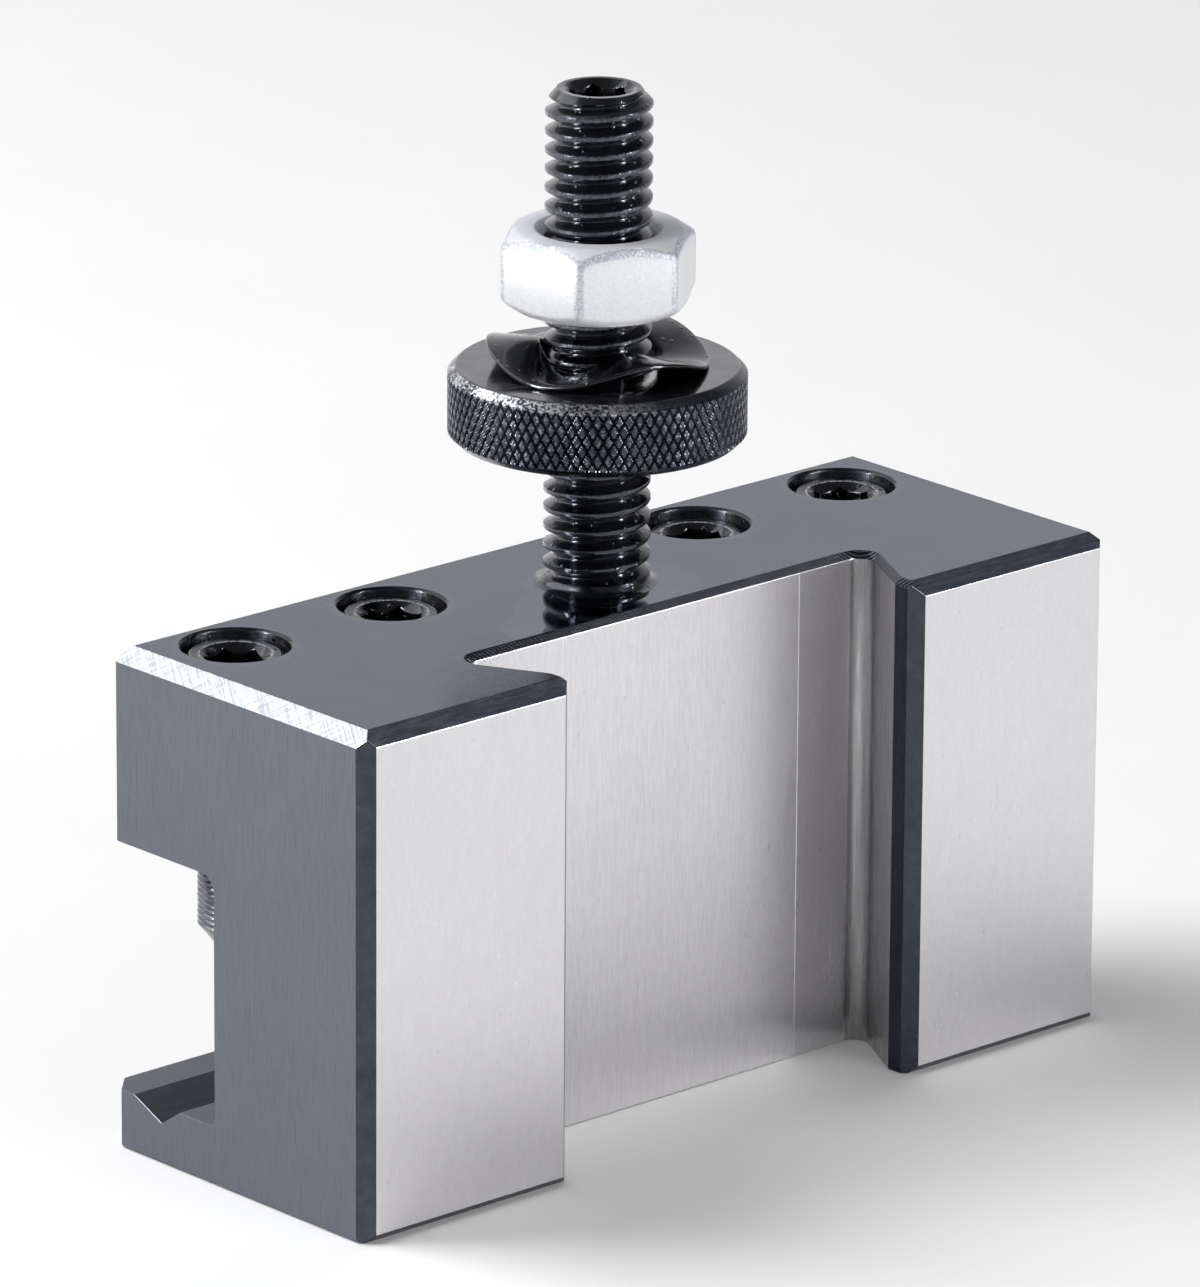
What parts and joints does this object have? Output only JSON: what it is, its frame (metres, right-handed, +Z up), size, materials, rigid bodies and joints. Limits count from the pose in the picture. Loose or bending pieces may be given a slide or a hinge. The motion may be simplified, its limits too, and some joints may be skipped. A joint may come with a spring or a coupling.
{
  "type": "lathe tool holder",
  "caption": "Steel tool-post holder block with a front dovetail, a rear tool slot with clamp screws, and a height stud carrying a thumb nut, wave washer and lock nut.",
  "frame": {"origin": "middle of the block's underside, under the centre of the overall box", "axes": "+X along the block's length, -Y out of the dovetail face, +Y out of the tool slot, +Z up along the height stud"},
  "size_m": [0.073, 0.0288, 0.0752],
  "materials": {
    "black_oxide_steel": "satin black oxide with ground bright front faces",
    "oiled_black_steel": "oiled gloss black oxide",
    "spring_steel": "oiled gloss black",
    "zinc_plated_steel": "bright zinc plate"
  },
  "bodies": {
    "holder": {"holder_body": "black_oxide_steel", "height_stud": "oiled_black_steel"},
    "washer": {"wave_washer": "spring_steel"},
    "thumb": {"thumb_nut": "oiled_black_steel"},
    "lock": {"lock_nut": "zinc_plated_steel"},
    "screw_1": {"clamp_screw_1": "oiled_black_steel"},
    "screw_2": {"clamp_screw_2": "oiled_black_steel"},
    "screw_3": {"clamp_screw_3": "oiled_black_steel"},
    "screw_4": {"clamp_screw_4": "oiled_black_steel"}
  },
  "joints": [
    {"name": "height_travel", "type": "slide", "parent": "holder", "child": "washer", "axis": [0, 0, 1], "range_m": [-0.0104, 0.007]},
    {"name": "thumb_nut_turn", "type": "hinge", "parent": "washer", "child": "thumb", "pos_m": [0, 0.0019, 0.05175], "axis": [0, 0, 1], "range_deg": [-2653, 1785]},
    {"name": "lock_nut_gap", "type": "slide", "parent": "thumb", "child": "lock", "axis": [0, 0, 1], "range_m": [-0.0024, 0.0032]},
    {"name": "clamp_1", "type": "slide", "parent": "holder", "child": "screw_1", "axis": [0, 0, 1], "range_m": [-0.008, 0.007]},
    {"name": "clamp_2", "type": "slide", "parent": "holder", "child": "screw_2", "axis": [0, 0, 1], "range_m": [-0.008, 0.007]},
    {"name": "clamp_3", "type": "slide", "parent": "holder", "child": "screw_3", "axis": [0, 0, 1], "range_m": [-0.008, 0.007]},
    {"name": "clamp_4", "type": "slide", "parent": "holder", "child": "screw_4", "axis": [0, 0, 1], "range_m": [-0.008, 0.007]}
  ],
  "couplings": [
    {"joint": "height_travel", "follows": "thumb_nut_turn", "m_per_rad": 0.00022457}
  ]
}
